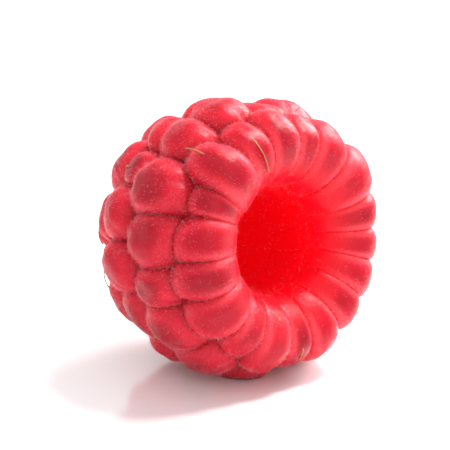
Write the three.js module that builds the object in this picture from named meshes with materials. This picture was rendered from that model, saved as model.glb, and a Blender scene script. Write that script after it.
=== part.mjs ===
// A ripe raspberry as picked, in millimetres, +Z up: one hollow body of small round fruits, the drupelets,
// round the space that its white core has left. It lies on its side, with its mouth towards -Y and tipped
// up a little. The origin is on the surface that it lies on, under the middle of the berry.
//
// The berry is a smooth round body whose skin is divided into cells, one for each drupelet, and each cell
// is raised into a dome. The cells are worked out on a ball: a point of the ball stands for a point of the
// skin, from the berry's tip at one pole, over the lip, to the end of the hollow at the other.
import * as THREE from "three";
import { mergeVertices } from "three/addons/utils/BufferGeometryUtils.js";

// The smooth body, up to the creases between the drupelets. Along the axis it is measured from the tip.
const BODY_RADIUS = 9.25;
const BODY_LENGTH = 15.7;
const WIDEST_AT = 10.9;
const LIP_RADIUS = 7.1;
const THROAT_RADIUS = 3.9;
const THROAT_DEPTH = 3.4;
const HOLLOW_DEPTH = 12.4;

// How far the drupelets stand out of the body, on the outside and in the hollow, and the stretch over which
// that fades, along the skin from the crest of the lip. As shares of it: how far the creases between two
// drupelets rise above the body, and how far the corners between three of them lie below it.
const RELIEF = 1.25;
const HOLLOW_RELIEF = 0.06;
const RELIEF_FADES = [-4.5, 6.8];
const CREASE = 0.2;
const PIT = 0.4;

// How steeply a dome rises from its creases: 2 is a round dome, and more is a flatter one. A dome that is
// nearer than this to one of its creases, on the berry, is lower in proportion.
const FULL_POWER = 2.3;
const FULL_HEIGHT_REACH = 1.45;

// The drupelets on the lip are long ones: their cells are stretched along the skin this many times more.
const LIP_STRETCH = 1.5;
const LIP_STRETCH_REACH = 3.8;

// Rows of drupelets, placed along the skin from the lip's crest: outwards is below 0, and into the hollow
// is above it. The spacing is the one round the berry, at the creases.
const OUTER_ROWS = 6;
const OUTER_START = -6.1;
const OUTER_SPACING = 3.65;
const LIP_AT = 0.3;
const LIP_COUNT = 18;
const HOLLOW_START = 7.3;
const HOLLOW_STEP = 1.9;
const HOLLOW_ROWS = 4;
const HOLLOW_SPACING = 2.0;

// No two drupelets are quite alike. These are shares of their spacing, of their size and of their height.
const SCATTER = 0.18;
const SIZE_SCATTER = 0.085;
const HEIGHT_SCATTER = 0.13;
const SEED = 11;

// How it lies: the mouth is tipped up, and the lowest drupelets are pressed flat by the berry's weight.
const TIP_UP = THREE.MathUtils.degToRad(8);
const PRESSED = 0.6;

// Fineness: the longest step along a crease, the rings of a dome, and the steps of the half section.
const CREASE_STEP = 1.0;
const LIP_RINGS = 7;
const OUTER_RINGS = 4;
const HOLLOW_RINGS = 2;
const PROFILE_STEPS = 1200;
const MERGE = 1e-3;

const QUARTER = Math.PI / 2;

let drawn = SEED;
function random() {
  drawn = (1664525 * drawn + 1013904223) % 4294967296;
  return drawn / 4294967296;
}

// A random number between -reach and +reach.
function scatter(reach) {
  return reach * (2 * random() - 1);
}

// The body's half section is four quarter ellipses through these corners, as [radius, along the axis].
const CORNERS = [
  [0, 0],
  [BODY_RADIUS, WIDEST_AT],
  [LIP_RADIUS, BODY_LENGTH],
  [THROAT_RADIUS, BODY_LENGTH - THROAT_DEPTH],
  [0, BODY_LENGTH - HOLLOW_DEPTH],
];

// The half section at t, from 0 at the tip to 4 at the end of the hollow: the radius, the place along the
// axis, and the outward normal's share in each.
function section(t) {
  const k = Math.min(3, Math.floor(t));
  const [r0, a0] = CORNERS[k];
  const [r1, a1] = CORNERS[k + 1];
  const s = Math.sin((t - k) * QUARTER);
  const c = Math.cos((t - k) * QUARTER);
  const leavesRadially = k % 2 === 0;
  const radius = r0 + (r1 - r0) * (leavesRadially ? s : 1 - c);
  const along = a0 + (a1 - a0) * (leavesRadially ? 1 - c : s);
  const dr = (r1 - r0) * (leavesRadially ? c : s);
  const da = (a1 - a0) * (leavesRadially ? s : c);
  const size = Math.hypot(dr, da);
  return { radius, along, outR: da / size, outA: -dr / size };
}

// For each step of the half section: its t, the length of skin from the lip's crest, and the angle on the
// ball from the tip's pole. The angle keeps the cells' shape, apart from the stretch at the lip.
function makeProfile() {
  const steps = [];
  let skin = 0;
  for (let k = 0; k <= PROFILE_STEPS; k++) {
    const t = (4 * k) / PROFILE_STEPS;
    const { radius, along } = section(t);
    const last = steps[k - 1];
    if (last) skin += Math.hypot(radius - last.radius, along - last.along);
    steps.push({ t, skin, radius, along, turn: 0 });
  }
  const crest = steps[PROFILE_STEPS / 2];
  const crestSkin = crest.skin;
  for (const step of steps) step.skin -= crestSkin;
  for (let k = 2; k < PROFILE_STEPS; k++) {
    const [here, last] = [steps[k], steps[k - 1]];
    const fromCrest = (here.skin + last.skin) / 2 / LIP_STRETCH_REACH;
    const stretch = 1 + LIP_STRETCH * Math.exp(-fromCrest * fromCrest);
    const radius = (here.radius + last.radius) / 2;
    here.turn = last.turn + (here.skin - last.skin) / (radius * stretch);
  }
  for (const step of steps)
    step.angle = 2 * Math.atan(Math.exp(step.turn - crest.turn));
  steps[0].angle = 0;
  steps[PROFILE_STEPS].angle = Math.PI;
  return steps;
}

const profile = makeProfile();

// Reads one column of the profile at a value of another that grows along it.
function lookUp(from, value, to) {
  let low = 0;
  let high = PROFILE_STEPS;
  while (high - low > 1) {
    const middle = (low + high) >> 1;
    if (profile[middle][from] <= value) low = middle;
    else high = middle;
  }
  const [below, above] = [profile[low], profile[high]];
  const share = (value - below[from]) / (above[from] - below[from]);
  return below[to] + share * (above[to] - below[to]);
}

// The point of the berry for a direction on the ball, raised by lift times the relief there. The tip's
// pole is +Y, so the mouth faces -Y.
function onBerry(direction, lift) {
  const angle = Math.acos(THREE.MathUtils.clamp(direction.y, -1, 1));
  const { radius, along, outR, outA } = section(lookUp("angle", angle, "t"));
  const skin = lookUp("angle", angle, "skin");
  const fade = THREE.MathUtils.smoothstep(skin, ...RELIEF_FADES);
  const relief = THREE.MathUtils.lerp(RELIEF, HOLLOW_RELIEF, fade);
  const r = radius + outR * lift * relief;
  const a = along + outA * lift * relief;
  const round = Math.atan2(direction.z, direction.x);
  return new THREE.Vector3(r * Math.cos(round), -a, r * Math.sin(round));
}

// How many drupelets go round the body at this place along the skin.
function countFor(skin, spacing) {
  const round = 2 * Math.PI * lookUp("skin", skin, "radius");
  return Math.max(1, Math.round(round / spacing));
}

// The rows of drupelets from the tip to the end of the hollow.
function makeRows() {
  const rows = [];
  const tip = profile[0].skin;
  const end = profile[PROFILE_STEPS].skin;
  const step = (tip - OUTER_START) / (OUTER_ROWS - 1);
  for (let k = OUTER_ROWS - 1; k >= 0; k--) {
    const skin = OUTER_START + step * k;
    const count = countFor(skin, OUTER_SPACING);
    rows.push({ skin, count, step, rings: OUTER_RINGS });
  }
  rows.push({ skin: LIP_AT, count: LIP_COUNT, step, rings: LIP_RINGS });
  for (let k = 0; k < HOLLOW_ROWS; k++) {
    const skin = HOLLOW_START + HOLLOW_STEP * k;
    const count = countFor(skin, HOLLOW_SPACING);
    rows.push({ skin, count, step: HOLLOW_STEP, rings: HOLLOW_RINGS });
  }
  rows.push({ skin: end, count: 1, step: 0, rings: HOLLOW_RINGS });
  return rows;
}

// Every drupelet: its middle as a direction on the ball, its weight against its neighbours, which makes
// its cell larger or smaller, and its height as a share of the relief.
function makeDrupelets() {
  const found = [];
  makeRows().forEach(({ skin, count, step, rings }, row) => {
    const loose = count > 1 ? SCATTER : 0;
    for (let k = 0; k < count; k++) {
      const round = (2 * Math.PI * (k + (row % 2) / 2 + scatter(loose))) / count;
      const angle = lookUp("skin", skin + scatter(loose) * Math.abs(step), "angle");
      const middle = new THREE.Vector3().setFromSphericalCoords(1, angle, round);
      const spacing = (2 * Math.PI * Math.sin(angle)) / count;
      const weight = 1 + scatter(SIZE_SCATTER) * spacing * spacing;
      const height = 1 + scatter(HEIGHT_SCATTER);
      found.push({ middle, weight, height, rings });
    }
  });
  return found;
}

// The corners of a drupelet's cell: what is left of a wide square on the ball once every other drupelet
// has cut off the side that is nearer to it.
function cellCorners(own, all) {
  const aside = Math.abs(own.middle.y) > 0.9 ? [1, 0, 0] : [0, 1, 0];
  const u = new THREE.Vector3(...aside).cross(own.middle).normalize();
  const v = new THREE.Vector3().crossVectors(own.middle, u);
  const square = [
    [-1, -1],
    [1, -1],
    [1, 1],
    [-1, 1],
  ];
  let corners = square.map(([x, y]) =>
    own.middle.clone().addScaledVector(u, x).addScaledVector(v, y),
  );
  for (const other of all) {
    if (other === own || other.middle.dot(own.middle) < 0) continue;
    const nearer = own.middle
      .clone()
      .multiplyScalar(own.weight)
      .addScaledVector(other.middle, -other.weight);
    const kept = [];
    corners.forEach((here, k) => {
      const next = corners[(k + 1) % corners.length];
      const [a, b] = [nearer.dot(here), nearer.dot(next)];
      if (a >= 0) kept.push(here);
      if (a * b < 0) kept.push(here.clone().lerp(next, a / (a - b)));
    });
    corners = kept;
  }
  return corners.map((corner) => corner.normalize());
}

// The points round a cell, each with its lift: the corners are pits, and the creases rise between them.
function makeCreases(corners) {
  const loop = [];
  corners.forEach((from, k) => {
    const to = corners[(k + 1) % corners.length];
    const halfway = onBerry(from.clone().add(to).normalize(), 0);
    const length =
      onBerry(from, 0).distanceTo(halfway) + onBerry(to, 0).distanceTo(halfway);
    const steps = Math.max(1, Math.round(length / CREASE_STEP));
    const rise = Math.min(1, length / OUTER_SPACING);
    for (let n = 0; n < steps; n++) {
      const direction = from.clone().lerp(to, n / steps).normalize();
      const lift = (PIT + CREASE) * rise * Math.sin((Math.PI * n) / steps) - PIT;
      loop.push({ direction, lift });
    }
  });
  return loop;
}

// For each side of a cell, the plane through it and the ball's centre, scaled so that a point's distance
// from it is 1 at the middle, or before it from a side that is further off, on the berry, than the nearest.
// With them comes how far off the nearest is.
function makeSides(middle, corners) {
  const top = onBerry(middle, 0);
  const found = corners.map((from, k) => {
    const to = corners[(k + 1) % corners.length];
    const plane = new THREE.Vector3().crossVectors(from, to).normalize();
    const inside = plane.dot(middle);
    const foot = middle.clone().addScaledVector(plane, -inside).normalize();
    return { plane, inside, reach: onBerry(foot, 0).distanceTo(top) };
  });
  const least = Math.min(...found.map(({ reach }) => reach));
  const sides = found.map(({ plane, inside, reach }) => {
    const full = (reach + least) / 2;
    return plane.multiplyScalar(reach / (full * inside));
  });
  return { sides, least };
}

// How full the dome is at a direction, from 0 on the cell's sides to 1 well inside them all.
function fullness(sides, direction) {
  let full = 1;
  for (const side of sides) {
    const inside = THREE.MathUtils.clamp(side.dot(direction), 0, 1);
    full *= Math.pow(1 - Math.pow(1 - inside, FULL_POWER), 1 / FULL_POWER);
  }
  return full;
}

// Adds a four-sided face to the points as two triangles, split along its shorter diagonal.
function addFourSided(a, b, c, d, points) {
  if (a.distanceTo(c) < b.distanceTo(d)) points.push(a, b, c, a, c, d);
  else points.push(a, b, d, b, c, d);
}

// Adds a drupelet's dome to the points, three for each triangle: rings round its middle, which lie closer
// together towards the creases.
function addDome(drupelet, all, points) {
  const { middle, rings } = drupelet;
  const corners = cellCorners(drupelet, all);
  const loop = makeCreases(corners);
  const { sides, least } = makeSides(middle, corners);
  const height = drupelet.height * Math.min(1, least / FULL_HEIGHT_REACH);
  const makeRing = (m) => {
    const out = Math.sin((QUARTER * m) / rings);
    return loop.map(({ direction: crease, lift }) => {
      if (m === rings) return onBerry(crease, lift);
      const direction = middle.clone().lerp(crease, out).normalize();
      const full = fullness(sides, direction);
      return onBerry(direction, THREE.MathUtils.lerp(lift, height, full));
    });
  };
  const top = onBerry(middle, height);
  let inner = makeRing(1);
  inner.forEach((here, k) => {
    points.push(top, here, inner[(k + 1) % inner.length]);
  });
  for (let m = 2; m <= rings; m++) {
    const outer = makeRing(m);
    outer.forEach((c, k) => {
      const next = (k + 1) % outer.length;
      addFourSided(inner[k], c, outer[next], inner[next], points);
    });
    inner = outer;
  }
}

// Lays the berry down: tipped, lowered until the lowest drupelets are pressed flat, and centred.
function layDown(geometry) {
  geometry.rotateX(-TIP_UP);
  geometry.computeBoundingBox();
  const { min, max } = geometry.boundingBox;
  geometry.translate(-(min.x + max.x) / 2, -(min.y + max.y) / 2, -min.z - PRESSED);
  const position = geometry.getAttribute("position");
  for (let k = 0; k < position.count; k++)
    position.setZ(k, Math.max(0, position.getZ(k)));
}

function makeRaspberry() {
  const all = makeDrupelets();
  const points = [];
  for (const drupelet of all) addDome(drupelet, all, points);
  const loose = new THREE.BufferGeometry().setFromPoints(points);
  layDown(loose);
  const geometry = mergeVertices(loose, MERGE);
  geometry.computeVertexNormals();
  const skin = new THREE.MeshStandardMaterial({
    color: 0xc81432,
    roughness: 0.45,
    metalness: 0,
  });
  const mesh = new THREE.Mesh(geometry, skin);
  mesh.name = "raspberry";
  return mesh;
}

const group = new THREE.Group();
group.add(makeRaspberry());

export default group;
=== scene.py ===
# A ripe raspberry lying on its side on a pale surface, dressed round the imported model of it.
#
# The drupelets, the small round fruits that make up the berry, are raised here by the same rule and the same
# random draws as in the solid, but much finer. The skin, the scars and dry styles, the down, the surface,
# the light and the camera are added.
import math

import bmesh
import bpy
import numpy as np
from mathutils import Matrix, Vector


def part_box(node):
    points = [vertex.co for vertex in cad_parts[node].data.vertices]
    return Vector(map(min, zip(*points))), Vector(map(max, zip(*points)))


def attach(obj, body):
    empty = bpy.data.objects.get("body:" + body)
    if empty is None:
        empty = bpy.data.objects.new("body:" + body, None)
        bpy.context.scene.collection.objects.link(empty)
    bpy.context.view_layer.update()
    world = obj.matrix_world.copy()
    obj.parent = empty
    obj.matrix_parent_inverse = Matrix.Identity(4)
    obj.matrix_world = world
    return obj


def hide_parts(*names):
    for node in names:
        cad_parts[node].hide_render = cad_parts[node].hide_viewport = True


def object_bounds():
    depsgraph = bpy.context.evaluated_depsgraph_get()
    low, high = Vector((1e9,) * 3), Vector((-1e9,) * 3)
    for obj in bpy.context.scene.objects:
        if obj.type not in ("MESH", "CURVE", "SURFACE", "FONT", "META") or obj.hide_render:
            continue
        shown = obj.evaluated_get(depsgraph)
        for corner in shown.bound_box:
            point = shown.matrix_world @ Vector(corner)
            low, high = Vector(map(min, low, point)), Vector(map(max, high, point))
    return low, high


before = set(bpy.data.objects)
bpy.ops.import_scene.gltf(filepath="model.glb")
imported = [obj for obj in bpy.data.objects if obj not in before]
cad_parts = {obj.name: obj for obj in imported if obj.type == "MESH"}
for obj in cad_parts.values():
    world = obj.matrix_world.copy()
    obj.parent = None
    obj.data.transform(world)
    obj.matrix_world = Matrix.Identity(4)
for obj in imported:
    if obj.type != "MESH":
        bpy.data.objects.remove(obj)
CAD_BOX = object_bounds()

MM = 0.001
QUARTER = math.pi / 2
NODE = "raspberry"

# The berry's form, in millimetres and degrees, as in the solid.
BODY_RADIUS = 9.25
BODY_LENGTH = 15.7
WIDEST_AT = 10.9
LIP_RADIUS = 7.1
THROAT_RADIUS = 3.9
THROAT_DEPTH = 3.4
HOLLOW_DEPTH = 12.4
RELIEF = 1.25
HOLLOW_RELIEF = 0.06
RELIEF_FADES = (-4.5, 6.8)
CREASE = 0.2
PIT = 0.4
FULL_POWER = 2.3
FULL_HEIGHT_REACH = 1.45
LIP_STRETCH = 1.5
LIP_STRETCH_REACH = 3.8
OUTER_ROWS = 6
OUTER_START = -6.1
OUTER_SPACING = 3.65
LIP_AT = 0.3
LIP_COUNT = 18
HOLLOW_START = 7.3
HOLLOW_STEP = 1.9
HOLLOW_ROWS = 4
HOLLOW_SPACING = 2.0
SCATTER = 0.18
SIZE_SCATTER = 0.085
HEIGHT_SCATTER = 0.13
TIP_UP = math.radians(8)
PRESSED = 0.6
PROFILE_STEPS = 1200
NEAR_POLE = 0.9

# The random draws, as in the solid: where they start, and the three numbers that lead from one to the next.
SEED = 11
DRAW_TIMES = 1664525
DRAW_PLUS = 1013904223
DRAW_RANGE = 2 ** 32

# What only the fine skin has: its steps, its slight lumps, and the scar that each style leaves. Points of
# two domes that are nearer than the weld are one point.
CREASE_STEP = 0.28
LIP_RINGS = 24
OUTER_RINGS = 15
HOLLOW_RINGS = 9
LUMP_HEIGHT = 0.05
LUMP_COUNT = 14
LUMP_LENGTHS = (0.9, 2.6)
SCAR_DEPTH = 0.1
SCAR_RADIUS = 0.26
SCAR_TOWARDS_TIP = 0.12
WELD = 0.0001

# The dry styles: the share of the drupelets that keep one, its length and radius, how much of the radius it
# loses along the way, and how wide its end is. As shares of the relief: how deep its root is below the
# dome's top, and how far it rises from there. It bends by this angle at most, in radians.
STYLE_SHARE = 0.4
STYLE_LENGTH = (0.8, 1.9)
STYLE_RADIUS = 0.055
STYLE_TAPER = 0.3
STYLE_END = 1.2
STYLE_ROOT = 0.2
STYLE_RISE = 0.36
STYLE_BEND = 1.2
STYLE_POINTS = 9
STYLE_SIDES = 6

# What a style's sides are found from: one direction for the way it can lie, and one for its tube.
STYLE_ASIDE = np.array([0.3, 0.2, 1.0])
TUBE_ASIDE = np.array([0.5, 0.3, 0.8])

# The down: how many hairs, their sizes, how far they lean from straight out, how much thinner it is on the
# crowns, the share of it that is left in the hollow, and the power that keeps the crowns narrow.
DOWN_COUNT = 50000
DOWN_LENGTH = (0.10, 0.32)
DOWN_RADIUS = 0.007
DOWN_SIDES = 3
DOWN_LEAN = 0.35
DOWN_THINS = 0.85
DOWN_IN_HOLLOW = 0.2
CROWN_POWER = 4

# The colours, as linear red, green and blue. Two together are the darkest and the palest.
CROWN_REDS = ((0.25, 0.0, 0.009), (0.39, 0.0, 0.013))
MOTTLE_RED = (0.43, 0.001, 0.015)
# The shoulders' paler red is painted sheen: the pale velvety rim that light from behind gives each drupelet.
SHOULDER_PAINTED_SHEEN = (0.58, 0.012, 0.034)
# The creases' deeper, darker red is painted shade.
CREASE_PAINTED_SHADE = (0.42, 0.001, 0.008)
# The lip's pale pink is a painted highlight: light from behind over and through its crest.
LIP_PAINTED_HIGHLIGHT = (0.74, 0.07, 0.095)
# The hollow's bright red is a painted glow: the light that passes through the berry's walls.
HOLLOW_PAINTED_GLOW = (0.90, 0.002, 0.014)
SCAR_BROWN = (0.30, 0.06, 0.015)
DOWN_PINKS = ((0.78, 0.09, 0.13), (0.94, 0.44, 0.47))
STYLE_TANS = ((0.22, 0.07, 0.02), (0.55, 0.27, 0.08))
FLOOR_WHITES = ((0.93, 0.90, 0.91), (0.96, 0.93, 0.94))

# The noise that the colours, the gloss and the grain follow: its grains in millimetres, and its detail.
MOTTLE_NOISE = (1.3, 4)
GLOSS_NOISE = (0.5, 4)
GRAIN_NOISE = (0.3, 5)
DOWN_NOISE = (2.0, 1)
STYLE_NOISE = (0.8, 2)
FLOOR_NOISE = (40, 2)

# Smooth steps: where each starts and where it ends, in the value that it follows, and its strength at both.
# The first four follow the hollowness, the next two the fullness, one the scar, and the last two noise.
ON_OUTSIDE = (0.35, 0.9, 1.0, 0.0)
# The lip's painted highlight rises and falls again over its crest.
LIP_HIGHLIGHT_RISES = (0.15, 0.4, 0.0, 1.0)
LIP_HIGHLIGHT_FALLS = (0.78, 0.5, 0.0, 0.85)
# Where the painted glow fills the hollow.
GLOW_IN_HOLLOW = (0.3, 0.95, 0.0, 1.0)
# Where the painted sheen pales the shoulders.
SHEEN_ON_SHOULDERS = (1.0, 0.72, 0.0, 0.75)
# Where the painted shade darkens the creases.
SHADE_IN_CREASES = (0.55, 0.05, 0.0, 1.0)
ON_SCAR = (0.6, 0.98, 0.0, 0.6)
MOTTLE = (0.4, 0.7, 0.0, 0.7)
ROUGHNESS = (0.3, 0.7, 0.30, 0.48)

# The skin's fine grain: how strong it is, and its height in millimetres.
GRAIN_STRENGTH = 0.5
GRAIN_HEIGHT = 0.08

# Ripe flesh, which light sinks into: red further than the rest.
FLESH = {
    "Subsurface Weight": 0.9,
    "Subsurface Radius": (1.0, 0.10, 0.08),
    "Subsurface Scale": 3.5 * MM,
    "IOR": 1.36,
    "Specular IOR Level": 0.36,
    "Sheen Weight": 0.05,
    "Sheen Roughness": 0.3,
    "Sheen Tint": (1.0, 0.5, 0.56, 1),
}

# The pale surface, in metres: half its width, and how far it is below the berry.
FLOOR_HALF = 0.6
FLOOR_DROP = 0.00002

# The light: the strength of the white world, and each lamp's name, azimuth and elevation in degrees,
# distance and size in metres, and power in watts.
WORLD_STRENGTH = 1.04
LAMPS = (
    ("back_right", 95, 32, 0.28, 0.16, 1.25),
    ("above", 75, 66, 0.3, 0.07, 1.0),
    ("front", -20, 24, 0.35, 0.2, 0.17),
)

# The camera looks from in front of the mouth's left, and from a little above. The lens, the sensor and the
# width that fits in the frame at the berry are in millimetres, and the clip is in metres.
VIEW_AZIMUTH = math.radians(-41)
VIEW_ELEVATION = math.radians(17)
LENS = 180
SENSOR = 36
FRAME_WIDTH = 33.0
CLIP_START = 0.01

_drawn = SEED


def draw():
    """The next random number from 0 to 1, by the same sequence as the solid's."""
    global _drawn
    _drawn = (DRAW_TIMES * _drawn + DRAW_PLUS) % DRAW_RANGE
    return _drawn / DRAW_RANGE


def scatter(reach):
    """A random number from -reach to +reach."""
    return reach * (2 * draw() - 1)


# The berry's form.

CORNERS = np.array([
    [0, 0],
    [BODY_RADIUS, WIDEST_AT],
    [LIP_RADIUS, BODY_LENGTH],
    [THROAT_RADIUS, BODY_LENGTH - THROAT_DEPTH],
    [0, BODY_LENGTH - HOLLOW_DEPTH],
])
QUARTERS = len(CORNERS) - 1


def section(t):
    """The half section at t: radius, place along the axis, and the outward normal's share in each."""
    k = np.clip(np.floor(t).astype(int), 0, QUARTERS - 1)
    r0, a0 = CORNERS[k].T
    r1, a1 = CORNERS[k + 1].T
    s = np.sin((t - k) * QUARTER)
    c = np.cos((t - k) * QUARTER)
    leaves_radially = k % 2 == 0
    radius = r0 + (r1 - r0) * np.where(leaves_radially, s, 1 - c)
    along = a0 + (a1 - a0) * np.where(leaves_radially, 1 - c, s)
    dr = (r1 - r0) * np.where(leaves_radially, c, s)
    da = (a1 - a0) * np.where(leaves_radially, s, c)
    size = np.hypot(dr, da)
    return radius, along, da / size, -dr / size


def make_profile():
    """The section's steps: t, the skin's length from the lip's crest, the angle on the ball, the radius."""
    t = np.linspace(0, QUARTERS, PROFILE_STEPS + 1)
    radius, along, _, _ = section(t)
    lengths = np.hypot(np.diff(radius), np.diff(along))
    skin = np.concatenate([[0], np.cumsum(lengths)])
    crest = PROFILE_STEPS // 2
    skin -= skin[crest]
    from_crest = (skin[1:] + skin[:-1]) / 2 / LIP_STRETCH_REACH
    stretch = 1 + LIP_STRETCH * np.exp(-from_crest * from_crest)
    middle_radius = (radius[1:] + radius[:-1]) / 2
    turns = lengths / (middle_radius * stretch)
    turns[0] = 0
    turns[-1] = 0
    turn = np.concatenate([[0], np.cumsum(turns)])
    angle = 2 * np.arctan(np.exp(turn - turn[crest]))
    angle[0] = 0
    angle[-1] = math.pi
    return t, skin, angle, radius


T, SKIN, ANGLE, RADIUS = make_profile()


def unit(vectors):
    return vectors / np.linalg.norm(vectors, axis=-1, keepdims=True)


def angle_of(directions):
    """Each direction's angle on the ball from the tip's pole."""
    return np.arccos(np.clip(directions[..., 1], -1, 1))


def skin_at(directions):
    """How far each direction is along the skin from the lip's crest, above 0 in the hollow."""
    return np.interp(angle_of(directions), ANGLE, SKIN)


def hollowness(skin):
    """0 on the outside, rising over the lip to 1 in the hollow."""
    share = np.clip((skin - RELIEF_FADES[0]) / (RELIEF_FADES[1] - RELIEF_FADES[0]), 0, 1)
    return share * share * (3 - 2 * share)


def on_berry(directions, lift):
    """The berry's points for directions on the ball, raised by lift times the relief there."""
    radius, along, out_r, out_a = section(np.interp(angle_of(directions), ANGLE, T))
    relief = RELIEF + (HOLLOW_RELIEF - RELIEF) * hollowness(skin_at(directions))
    r = radius + out_r * lift * relief
    a = along + out_a * lift * relief
    around = np.arctan2(directions[..., 2], directions[..., 0])
    return np.stack([r * np.cos(around), -a, r * np.sin(around)], axis=-1)


def count_for(skin, spacing):
    """How many drupelets go round the body at this place along the skin."""
    around = 2 * math.pi * np.interp(skin, SKIN, RADIUS)
    return max(1, round(around / spacing))


def make_rows():
    """The rows of drupelets: place along the skin, count, step to the next row, rings of a dome."""
    rows = []
    step = (SKIN[0] - OUTER_START) / (OUTER_ROWS - 1)
    for k in reversed(range(OUTER_ROWS)):
        skin = OUTER_START + step * k
        rows.append((skin, count_for(skin, OUTER_SPACING), step, OUTER_RINGS))
    rows.append((LIP_AT, LIP_COUNT, step, LIP_RINGS))
    for k in range(HOLLOW_ROWS):
        skin = HOLLOW_START + HOLLOW_STEP * k
        rows.append((skin, count_for(skin, HOLLOW_SPACING), HOLLOW_STEP, HOLLOW_RINGS))
    rows.append((SKIN[-1], 1, 0, HOLLOW_RINGS))
    return rows


def make_drupelets():
    """Every drupelet: its middle on the ball, its weight against its neighbours, its height, its rings."""
    found = []
    for row, (skin, count, step, rings) in enumerate(make_rows()):
        loose = SCATTER if count > 1 else 0
        for k in range(count):
            around = 2 * math.pi * (k + (row % 2) / 2 + scatter(loose)) / count
            angle = float(np.interp(skin + scatter(loose) * abs(step), SKIN, ANGLE))
            middle = np.array([
                math.sin(angle) * math.sin(around),
                math.cos(angle),
                math.sin(angle) * math.cos(around),
            ])
            spacing = 2 * math.pi * math.sin(angle) / count
            weight = 1 + scatter(SIZE_SCATTER) * spacing * spacing
            height = 1 + scatter(HEIGHT_SCATTER)
            found.append({"middle": middle, "weight": weight, "height": height, "rings": rings})
    return found


def cell_corners(own, everyone):
    """What is left of a wide square on the ball once every other drupelet has cut off its side."""
    middle = own["middle"]
    aside = np.array([1.0, 0, 0]) if abs(middle[1]) > NEAR_POLE else np.array([0, 1.0, 0])
    u = unit(np.cross(aside, middle))
    v = np.cross(middle, u)
    corners = [middle + u * x + v * y for x, y in ((-1, -1), (1, -1), (1, 1), (-1, 1))]
    for other in everyone:
        if other is own or other["middle"] @ middle < 0:
            continue
        nearer = middle * own["weight"] - other["middle"] * other["weight"]
        kept = []
        for k, here in enumerate(corners):
            following = corners[(k + 1) % len(corners)]
            a = nearer @ here
            b = nearer @ following
            if a >= 0:
                kept.append(here)
            if a * b < 0:
                kept.append(here + (following - here) * (a / (a - b)))
        corners = kept
    return unit(np.array(corners))


def make_creases(corners):
    """The directions round a cell and their lifts: the corners are pits, and the creases rise between."""
    directions = []
    lifts = []
    for k, start in enumerate(corners):
        end = corners[(k + 1) % len(corners)]
        ends = on_berry(np.array([start, unit(start + end), end]), 0)
        length = np.linalg.norm(ends[0] - ends[1]) + np.linalg.norm(ends[2] - ends[1])
        steps = max(1, round(length / CREASE_STEP))
        rise = min(1, length / OUTER_SPACING)
        share = np.arange(steps)[:, None] / steps
        directions.append(unit(start + (end - start) * share))
        lifts.append((PIT + CREASE) * rise * np.sin(math.pi * share[:, 0]) - PIT)
    return np.concatenate(directions), np.concatenate(lifts)


def make_sides(middle, corners):
    """The planes of a cell's sides, scaled as in the solid, and how far off the nearest side is."""
    planes = unit(np.cross(corners, np.roll(corners, -1, axis=0)))
    inside = planes @ middle
    feet = unit(middle - planes * inside[:, None])
    reach = np.linalg.norm(on_berry(feet, 0) - on_berry(middle, 0), axis=1)
    full = (reach + reach.min()) / 2
    return planes * (reach / (full * inside))[:, None], reach.min()


def add_cells(everyone):
    """Gives each drupelet its cell's corners and sides, and lowers the small ones."""
    for drupelet in everyone:
        drupelet["corners"] = cell_corners(drupelet, everyone)
        drupelet["sides"], least = make_sides(drupelet["middle"], drupelet["corners"])
        drupelet["height"] *= min(1, least / FULL_HEIGHT_REACH)


def fullness(sides, directions):
    """How full the dome is at each direction, from 0 on the cell's sides to 1 well inside them all."""
    inside = np.clip(directions @ sides.T, 0, 1)
    return np.prod((1 - (1 - inside) ** FULL_POWER) ** (1 / FULL_POWER), axis=-1)


# What only the fine skin has.

def make_lumps():
    """A few long waves in all directions, which keep the domes from being perfect."""
    waves = []
    for _ in range(LUMP_COUNT):
        direction = unit(np.array([scatter(1), scatter(1), scatter(1)]))
        length = LUMP_LENGTHS[0] + (LUMP_LENGTHS[1] - LUMP_LENGTHS[0]) * draw()
        waves.append((direction * 2 * math.pi / length, 2 * math.pi * draw()))
    return waves


def lump(waves, points):
    """How far the lumps raise each point, in millimetres."""
    total = sum(np.sin(points @ wave + phase) for wave, phase in waves)
    return total * LUMP_HEIGHT / math.sqrt(len(waves))


def grows_style(drupelet):
    """Only the drupelets on the outside and on the lip had a style."""
    return skin_at(drupelet["middle"]) < LIP_STRETCH_REACH


def scar_direction(middle):
    """Each style stands a little nearer to the berry's tip than its drupelet's middle."""
    return unit(middle + np.array([0, SCAR_TOWARDS_TIP, 0]))


def scar_on(drupelet, flat):
    """The scar's depth at each point, from 0 round it to 1 in its middle."""
    if not grows_style(drupelet):
        return np.zeros(len(flat))
    middle = on_berry(scar_direction(drupelet["middle"]), 0)
    return np.exp(-(np.linalg.norm(flat - middle, axis=1) / SCAR_RADIUS) ** 2)


def dome_faces(around, rings):
    """A fan round the middle point, and then rings of four-sided faces, each with around of them."""
    faces = [(0, 1 + k, 1 + (k + 1) % around) for k in range(around)]
    for m in range(1, rings):
        inner = 1 + (m - 1) * around
        outer = inner + around
        for k in range(around):
            following = (k + 1) % around
            faces.append((inner + k, outer + k, outer + following, inner + following))
    return faces


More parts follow.
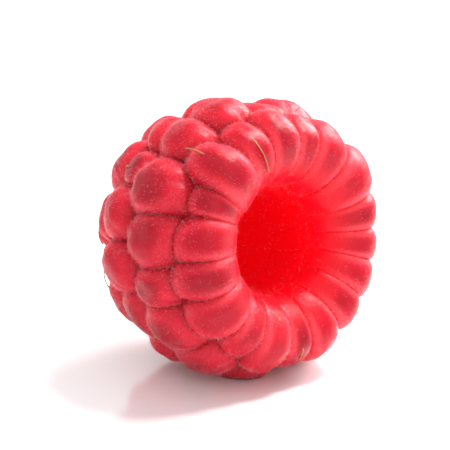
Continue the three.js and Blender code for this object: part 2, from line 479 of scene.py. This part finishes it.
def make_dome(drupelet, waves):
    """A dome's points, its faces, and the values at its points that the skin's colours are made from."""
    middle = drupelet["middle"]
    rings = drupelet["rings"]
    loop, lifts = make_creases(drupelet["corners"])
    around = len(loop)
    out = np.sin(QUARTER * np.arange(1, rings + 1) / rings)[:, None, None]
    directions = unit(middle + (loop - middle) * out)
    directions = np.concatenate([middle[None], directions.reshape(-1, 3)])
    base = np.concatenate([[drupelet["height"]], np.tile(lifts, rings)])
    full = np.concatenate([[1.0], fullness(drupelet["sides"], directions[1:])])
    full[-around:] = 0
    lift = base + (drupelet["height"] - base) * full

    flat = on_berry(directions, 0)
    outside = 1 - hollowness(skin_at(directions))
    scar = scar_on(drupelet, flat)
    lift += (lump(waves, flat) * outside - SCAR_DEPTH * scar) * full / RELIEF
    points = on_berry(directions, lift)
    values = {"full": full, "scar": scar, "tone": np.full(len(points), draw()), "hollow": 1 - outside}
    return points, dome_faces(around, rings), values


def tip(points):
    """Turns the points so that the mouth is tipped up."""
    c = math.cos(TIP_UP)
    s = math.sin(TIP_UP)
    x, y, z = points.T
    return np.stack([x, y * c + z * s, -y * s + z * c], axis=1)


def find_laying(skin_points):
    """How the berry is laid down, in metres: tipped, lowered, pressed flat below, inside the solid's box."""
    tipped = tip(skin_points)
    low = tipped.min(axis=0)
    high = tipped.max(axis=0)
    shift = -(low + high) / 2
    shift[2] = -low[2] - PRESSED
    solid = np.array(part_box(NODE)[1]) / MM
    fit = np.minimum(1, solid / (high + shift))

    def lay(points):
        placed = tip(points) + shift
        placed[:, 2] = np.maximum(placed[:, 2], 0)
        return placed * fit * MM
    return lay


# The pieces.

def add_object(name, mesh, material):
    mesh.materials.append(material)
    made = bpy.data.objects.new(name, mesh)
    bpy.context.scene.collection.objects.link(made)
    return made


def add_piece(name, mesh, material):
    """A new piece of the berry, which rides with it."""
    piece = add_object(name, mesh, material)
    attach(piece, "root")
    return piece


def smooth_mesh(name, points, faces, values):
    """A mesh of points in metres, with a value of each name at every point, joined at the seams."""
    mesh = bpy.data.meshes.new(name)
    mesh.from_pydata(points.tolist(), [], faces)
    for value_name, value in values.items():
        layer = mesh.attributes.new(value_name, "FLOAT", "POINT")
        layer.data.foreach_set("value", value.astype(np.float32))
    work = bmesh.new()
    work.from_mesh(mesh)
    edge = [vertex for vertex in work.verts if vertex.is_boundary]
    bmesh.ops.remove_doubles(work, verts=edge, dist=WELD * MM)
    bmesh.ops.recalc_face_normals(work, faces=work.faces)
    for face in work.faces:
        face.smooth = True
    work.to_mesh(mesh)
    work.free()
    return mesh


def make_berry(everyone, waves):
    """The fine skin, which stands for the solid, and how it is laid down."""
    points = []
    faces = []
    values = {"full": [], "scar": [], "tone": [], "hollow": []}
    start = 0
    for drupelet in everyone:
        own_points, own_faces, own_values = make_dome(drupelet, waves)
        points.append(own_points)
        faces.extend(tuple(start + k for k in face) for face in own_faces)
        for name, value in own_values.items():
            values[name].append(value)
        start += len(own_points)
    points = np.concatenate(points)
    lay = find_laying(points)
    values = {name: np.concatenate(value) for name, value in values.items()}
    berry = add_piece("berry", smooth_mesh("berry", lay(points), faces, values), make_skin())
    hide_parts(NODE)
    return berry, lay


def inside_box(points):
    low, high = np.array(CAD_BOX)
    return np.all((points >= low) & (points <= high), axis=-1)


def style_line(drupelet):
    """A dry style's middle line: it rises from the scar and bends over to lie close above the dome."""
    start = scar_direction(drupelet["middle"])
    aside = unit(np.cross(start, STYLE_ASIDE))
    across = np.cross(start, aside)
    share = np.linspace(0, 1, STYLE_POINTS)
    heading = 2 * math.pi * draw() + scatter(STYLE_BEND) * share
    length = STYLE_LENGTH[0] + (STYLE_LENGTH[1] - STYLE_LENGTH[0]) * draw()
    reach = length / (BODY_RADIUS + RELIEF) * share
    run = aside * np.cos(heading)[:, None] + across * np.sin(heading)[:, None]
    directions = unit(start + run * reach[:, None])
    dome = drupelet["height"] * (1 + fullness(drupelet["sides"], directions)) / 2
    return on_berry(directions, dome - STYLE_ROOT + STYLE_RISE * np.sin(QUARTER * share))


def make_tube(line, radii):
    """A tube's points and faces round a line, closed at both ends."""
    along = unit(np.gradient(line, axis=0))
    side = unit(np.cross(along, line[0] - line[-1] + TUBE_ASIDE))
    other = np.cross(along, side)
    turns = 2 * math.pi * np.arange(STYLE_SIDES) / STYLE_SIDES
    ring = side[:, None] * np.cos(turns)[:, None] + other[:, None] * np.sin(turns)[:, None]
    points = line[:, None] + ring * radii[:, None, None]
    last = (len(line) - 1) * STYLE_SIDES
    faces = [
        tuple(range(STYLE_SIDES)),
        tuple(last + k for k in reversed(range(STYLE_SIDES))),
    ]
    for m in range(len(line) - 1):
        here = m * STYLE_SIDES
        beyond = here + STYLE_SIDES
        for k in range(STYLE_SIDES):
            following = (k + 1) % STYLE_SIDES
            faces.append((here + k, here + following, beyond + following, beyond + k))
    return points.reshape(-1, 3), faces


def make_styles(everyone, lay):
    """The dry threads that some drupelets keep, where they don't stand out of the solid's box."""
    points = []
    faces = []
    radii = STYLE_RADIUS * (1 - np.linspace(0, STYLE_TAPER, STYLE_POINTS))
    radii[-1] = STYLE_RADIUS * STYLE_END
    for drupelet in everyone:
        if not grows_style(drupelet) or draw() > STYLE_SHARE:
            continue
        own_points, own_faces = make_tube(style_line(drupelet), radii)
        own_points = lay(own_points)
        if inside_box(own_points).all():
            start = STYLE_POINTS * STYLE_SIDES * len(points)
            faces.extend(tuple(start + k for k in face) for face in own_faces)
            points.append(own_points)
    add_piece("styles", smooth_mesh("styles", np.concatenate(points), faces, {}), make_dry_style())


def read_array(rows, name, width):
    values = np.empty(len(rows) * width)
    rows.foreach_get(name, values)
    return values.reshape(-1, width) if width > 1 else values


def pick_roots(mesh, rng):
    """Where the hairs grow, and the way out of the skin there: thinnest on the crowns and in the hollow."""
    mesh.calc_loop_triangles()
    corners = read_array(mesh.loop_triangles, "vertices", 3).astype(int)
    areas = read_array(mesh.loop_triangles, "area", 1)
    places = read_array(mesh.vertices, "co", 3)
    normals = read_array(mesh.vertices, "normal", 3)
    full = read_array(mesh.attributes["full"].data, "value", 1)
    hollow = read_array(mesh.attributes["hollow"].data, "value", 1)
    crown = full[corners].mean(axis=1) ** CROWN_POWER
    outside = 1 + DOWN_IN_HOLLOW - hollow[corners].mean(axis=1)
    chance = areas * (1 - DOWN_THINS * crown) * outside
    chosen = corners[rng.choice(len(corners), DOWN_COUNT, p=chance / chance.sum())]
    shares = rng.dirichlet((1, 1, 1), DOWN_COUNT)[:, :, None]
    roots = (places[chosen] * shares).sum(axis=1)
    return roots, unit((normals[chosen] * shares).sum(axis=1))


def make_down(berry):
    """Short fine hairs all over the skin, each a thin cone."""
    rng = np.random.default_rng(SEED)
    roots, out = pick_roots(berry.data, rng)
    grows = unit(out + rng.normal(0, DOWN_LEAN, roots.shape))
    tips = roots + grows * (rng.uniform(*DOWN_LENGTH, DOWN_COUNT)[:, None] * MM)
    side = unit(np.cross(grows, rng.normal(0, 1, roots.shape)))
    other = np.cross(grows, side)
    feet = []
    for k in range(DOWN_SIDES):
        turn = 2 * math.pi * k / DOWN_SIDES
        feet.append(roots + (side * math.cos(turn) + other * math.sin(turn)) * DOWN_RADIUS * MM)
    hairs = np.stack([*feet, tips], axis=1)
    clear = tips[:, 2] > DOWN_LENGTH[0] * MM
    hairs = hairs[inside_box(hairs).all(axis=1) & clear]

    cone = np.array([(k, (k + 1) % DOWN_SIDES, DOWN_SIDES) for k in range(DOWN_SIDES)])
    firsts = (DOWN_SIDES + 1) * np.arange(len(hairs))[:, None, None]
    faces = (firsts + cone).reshape(-1, 3)
    mesh = bpy.data.meshes.new("down")
    mesh.from_pydata(hairs.reshape(-1, 3).tolist(), [], faces.tolist())
    add_piece("down", mesh, make_down_material())


# Materials.

class Look:
    """A new material, with short ways to add nodes to it."""

    def __init__(self, name):
        self.material = bpy.data.materials.new(name)
        self.material.use_nodes = True
        self.nodes = self.material.node_tree.nodes
        self.links = self.material.node_tree.links
        self.shader = self.nodes["Principled BSDF"]

    def give(self, name, socket):
        """Lets a socket drive one of the shader's inputs."""
        self.links.new(socket, self.shader.inputs[name])

    def settle(self, settings):
        """Sets the shader's inputs that are the same all over."""
        for name, value in settings.items():
            self.shader.inputs[name].default_value = value

    def value(self, name):
        """One of the values that the mesh has at its points."""
        node = self.nodes.new("ShaderNodeAttribute")
        node.attribute_name = name
        return node.outputs["Fac"]

    def noise(self, size, detail):
        """Noise whose grains are about size millimetres."""
        place = self.nodes.new("ShaderNodeTexCoord")
        node = self.nodes.new("ShaderNodeTexNoise")
        node.inputs["Scale"].default_value = 1 / (size * MM)
        node.inputs["Detail"].default_value = detail
        self.links.new(place.outputs["Object"], node.inputs["Vector"])
        return node.outputs["Fac"]

    def ramp(self, value, low, high, to_low, to_high):
        """A smooth step from to_low to to_high, as the value goes from low to high."""
        node = self.nodes.new("ShaderNodeMapRange")
        node.interpolation_type = "SMOOTHSTEP"
        node.inputs["From Min"].default_value = low
        node.inputs["From Max"].default_value = high
        node.inputs["To Min"].default_value = to_low
        node.inputs["To Max"].default_value = to_high
        self.links.new(value, node.inputs["Value"])
        return node.outputs["Result"]

    def multiply(self, a, b):
        node = self.nodes.new("ShaderNodeMath")
        node.operation = "MULTIPLY"
        self.links.new(a, node.inputs[0])
        self.links.new(b, node.inputs[1])
        return node.outputs["Value"]

    def mix(self, factor, a, b):
        """A colour from a to b, which are sockets or colours."""
        node = self.nodes.new("ShaderNodeMix")
        node.data_type = "RGBA"
        colours = [socket for socket in node.inputs if socket.type == "RGBA"]
        for socket, value in zip(colours, (a, b)):
            if isinstance(value, tuple):
                socket.default_value = (*value, 1)
            else:
                self.links.new(value, socket)
        self.links.new(factor, node.inputs["Factor"])
        return next(socket for socket in node.outputs if socket.type == "RGBA")

    def bump(self, height, strength, distance):
        """Lets a height shape the surface, by at most distance millimetres."""
        node = self.nodes.new("ShaderNodeBump")
        node.inputs["Strength"].default_value = strength
        node.inputs["Distance"].default_value = distance * MM
        self.links.new(height, node.inputs["Height"])
        self.give("Normal", node.outputs["Normal"])


def skin_colour(look):
    """Dark red crowns, painted sheen on the shoulders, painted shade in the creases, a painted highlight on
    the lip, a painted glow in the hollow, and brown scars.
    """
    full = look.value("full")
    hollow = look.value("hollow")
    outside = look.ramp(hollow, *ON_OUTSIDE)
    shoulder_sheen = look.ramp(full, *SHEEN_ON_SHOULDERS)
    crease_shade = look.ramp(full, *SHADE_IN_CREASES)
    lip = look.multiply(look.ramp(hollow, *LIP_HIGHLIGHT_RISES), look.ramp(hollow, *LIP_HIGHLIGHT_FALLS))
    colour = look.mix(look.value("tone"), *CROWN_REDS)
    colour = look.mix(look.ramp(look.noise(*MOTTLE_NOISE), *MOTTLE), colour, MOTTLE_RED)
    # Painted sheen: the shoulders paler, as a velvety rim lit from behind.
    colour = look.mix(look.multiply(shoulder_sheen, outside), colour, SHOULDER_PAINTED_SHEEN)
    # Painted shade: the creases a darker, deeper red than the shoulders.
    colour = look.mix(look.multiply(crease_shade, outside), colour, CREASE_PAINTED_SHADE)
    # Painted highlight: a pale pink over the lip's crest, as light from behind over and through it.
    colour = look.mix(look.multiply(lip, shoulder_sheen), colour, LIP_PAINTED_HIGHLIGHT)
    # Painted glow: the hollow a bright red, as light through the walls.
    colour = look.mix(look.ramp(hollow, *GLOW_IN_HOLLOW), colour, HOLLOW_PAINTED_GLOW)
    return look.mix(look.ramp(look.value("scar"), *ON_SCAR), colour, SCAR_BROWN)


def make_skin():
    """Ripe red flesh under a thin skin, uneven in gloss and finely grained."""
    look = Look("raspberry_skin_fine")
    look.give("Base Color", skin_colour(look))
    look.give("Roughness", look.ramp(look.noise(*GLOSS_NOISE), *ROUGHNESS))
    look.settle(FLESH)
    look.bump(look.noise(*GRAIN_NOISE), GRAIN_STRENGTH, GRAIN_HEIGHT)
    return look.material


def make_down_material():
    """Pale fine hair."""
    look = Look("raspberry_down")
    look.give("Base Color", look.mix(look.noise(*DOWN_NOISE), *DOWN_PINKS))
    look.settle({"Roughness": 0.5})
    return look.material


def make_dry_style():
    """Dry thread, tan to brown."""
    look = Look("dry_style")
    look.give("Base Color", look.mix(look.noise(*STYLE_NOISE), *STYLE_TANS))
    look.settle({"Roughness": 0.6})
    return look.material


def make_floor_material():
    """A smooth white surface with a clear reflection."""
    look = Look("pale_surface")
    look.give("Base Color", look.mix(look.noise(*FLOOR_NOISE), *FLOOR_WHITES))
    look.settle({"Roughness": 0.13, "IOR": 2.4})
    return look.material


# The surface, the light and the camera.

def make_floor():
    mesh = bpy.data.meshes.new("surface")
    corners = [(x * FLOOR_HALF, y * FLOOR_HALF, 0) for x, y in ((-1, -1), (1, -1), (1, 1), (-1, 1))]
    mesh.from_pydata(corners, [], [(0, 1, 2, 3)])
    floor = add_object("surface", mesh, make_floor_material())
    floor.location.z = -FLOOR_DROP


def aim_from(thing, azimuth, elevation, distance):
    """Puts a lamp or the camera at a distance from the berry's middle, looking at it."""
    low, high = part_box(NODE)
    away = Vector((
        math.sin(azimuth) * math.cos(elevation),
        -math.cos(azimuth) * math.cos(elevation),
        math.sin(elevation),
    ))
    thing.location = (Vector(low) + Vector(high)) / 2 + away * distance
    thing.rotation_euler = away.to_track_quat("Z", "Y").to_euler()


def add_lamp(name, azimuth, elevation, distance, size, power):
    """A square soft lamp, at an azimuth as the camera's."""
    light = bpy.data.lights.new(name, "AREA")
    light.shape = "SQUARE"
    light.size = size
    light.energy = power
    lamp = bpy.data.objects.new(name, light)
    bpy.context.scene.collection.objects.link(lamp)
    aim_from(lamp, math.radians(azimuth), math.radians(elevation), distance)


def make_light():
    scene = bpy.context.scene
    world = bpy.data.worlds.new("studio")
    world.use_nodes = True
    background = world.node_tree.nodes["Background"]
    background.inputs["Color"].default_value = (1, 1, 1, 1)
    background.inputs["Strength"].default_value = WORLD_STRENGTH
    scene.world = world
    scene.view_settings.view_transform = "Standard"
    scene.view_settings.look = "None"
    for lamp in LAMPS:
        add_lamp(*lamp)


def make_camera():
    data = bpy.data.cameras.new("camera")
    data.lens = LENS
    data.sensor_width = SENSOR
    data.clip_start = CLIP_START
    camera = bpy.data.objects.new("camera", data)
    bpy.context.scene.collection.objects.link(camera)
    aim_from(camera, VIEW_AZIMUTH, VIEW_ELEVATION, FRAME_WIDTH * MM * LENS / SENSOR)
    bpy.context.scene.camera = camera


drupelets = make_drupelets()
add_cells(drupelets)
berry, lay = make_berry(drupelets, make_lumps())
make_styles(drupelets, lay)
make_down(berry)
make_floor()
make_light()
make_camera()
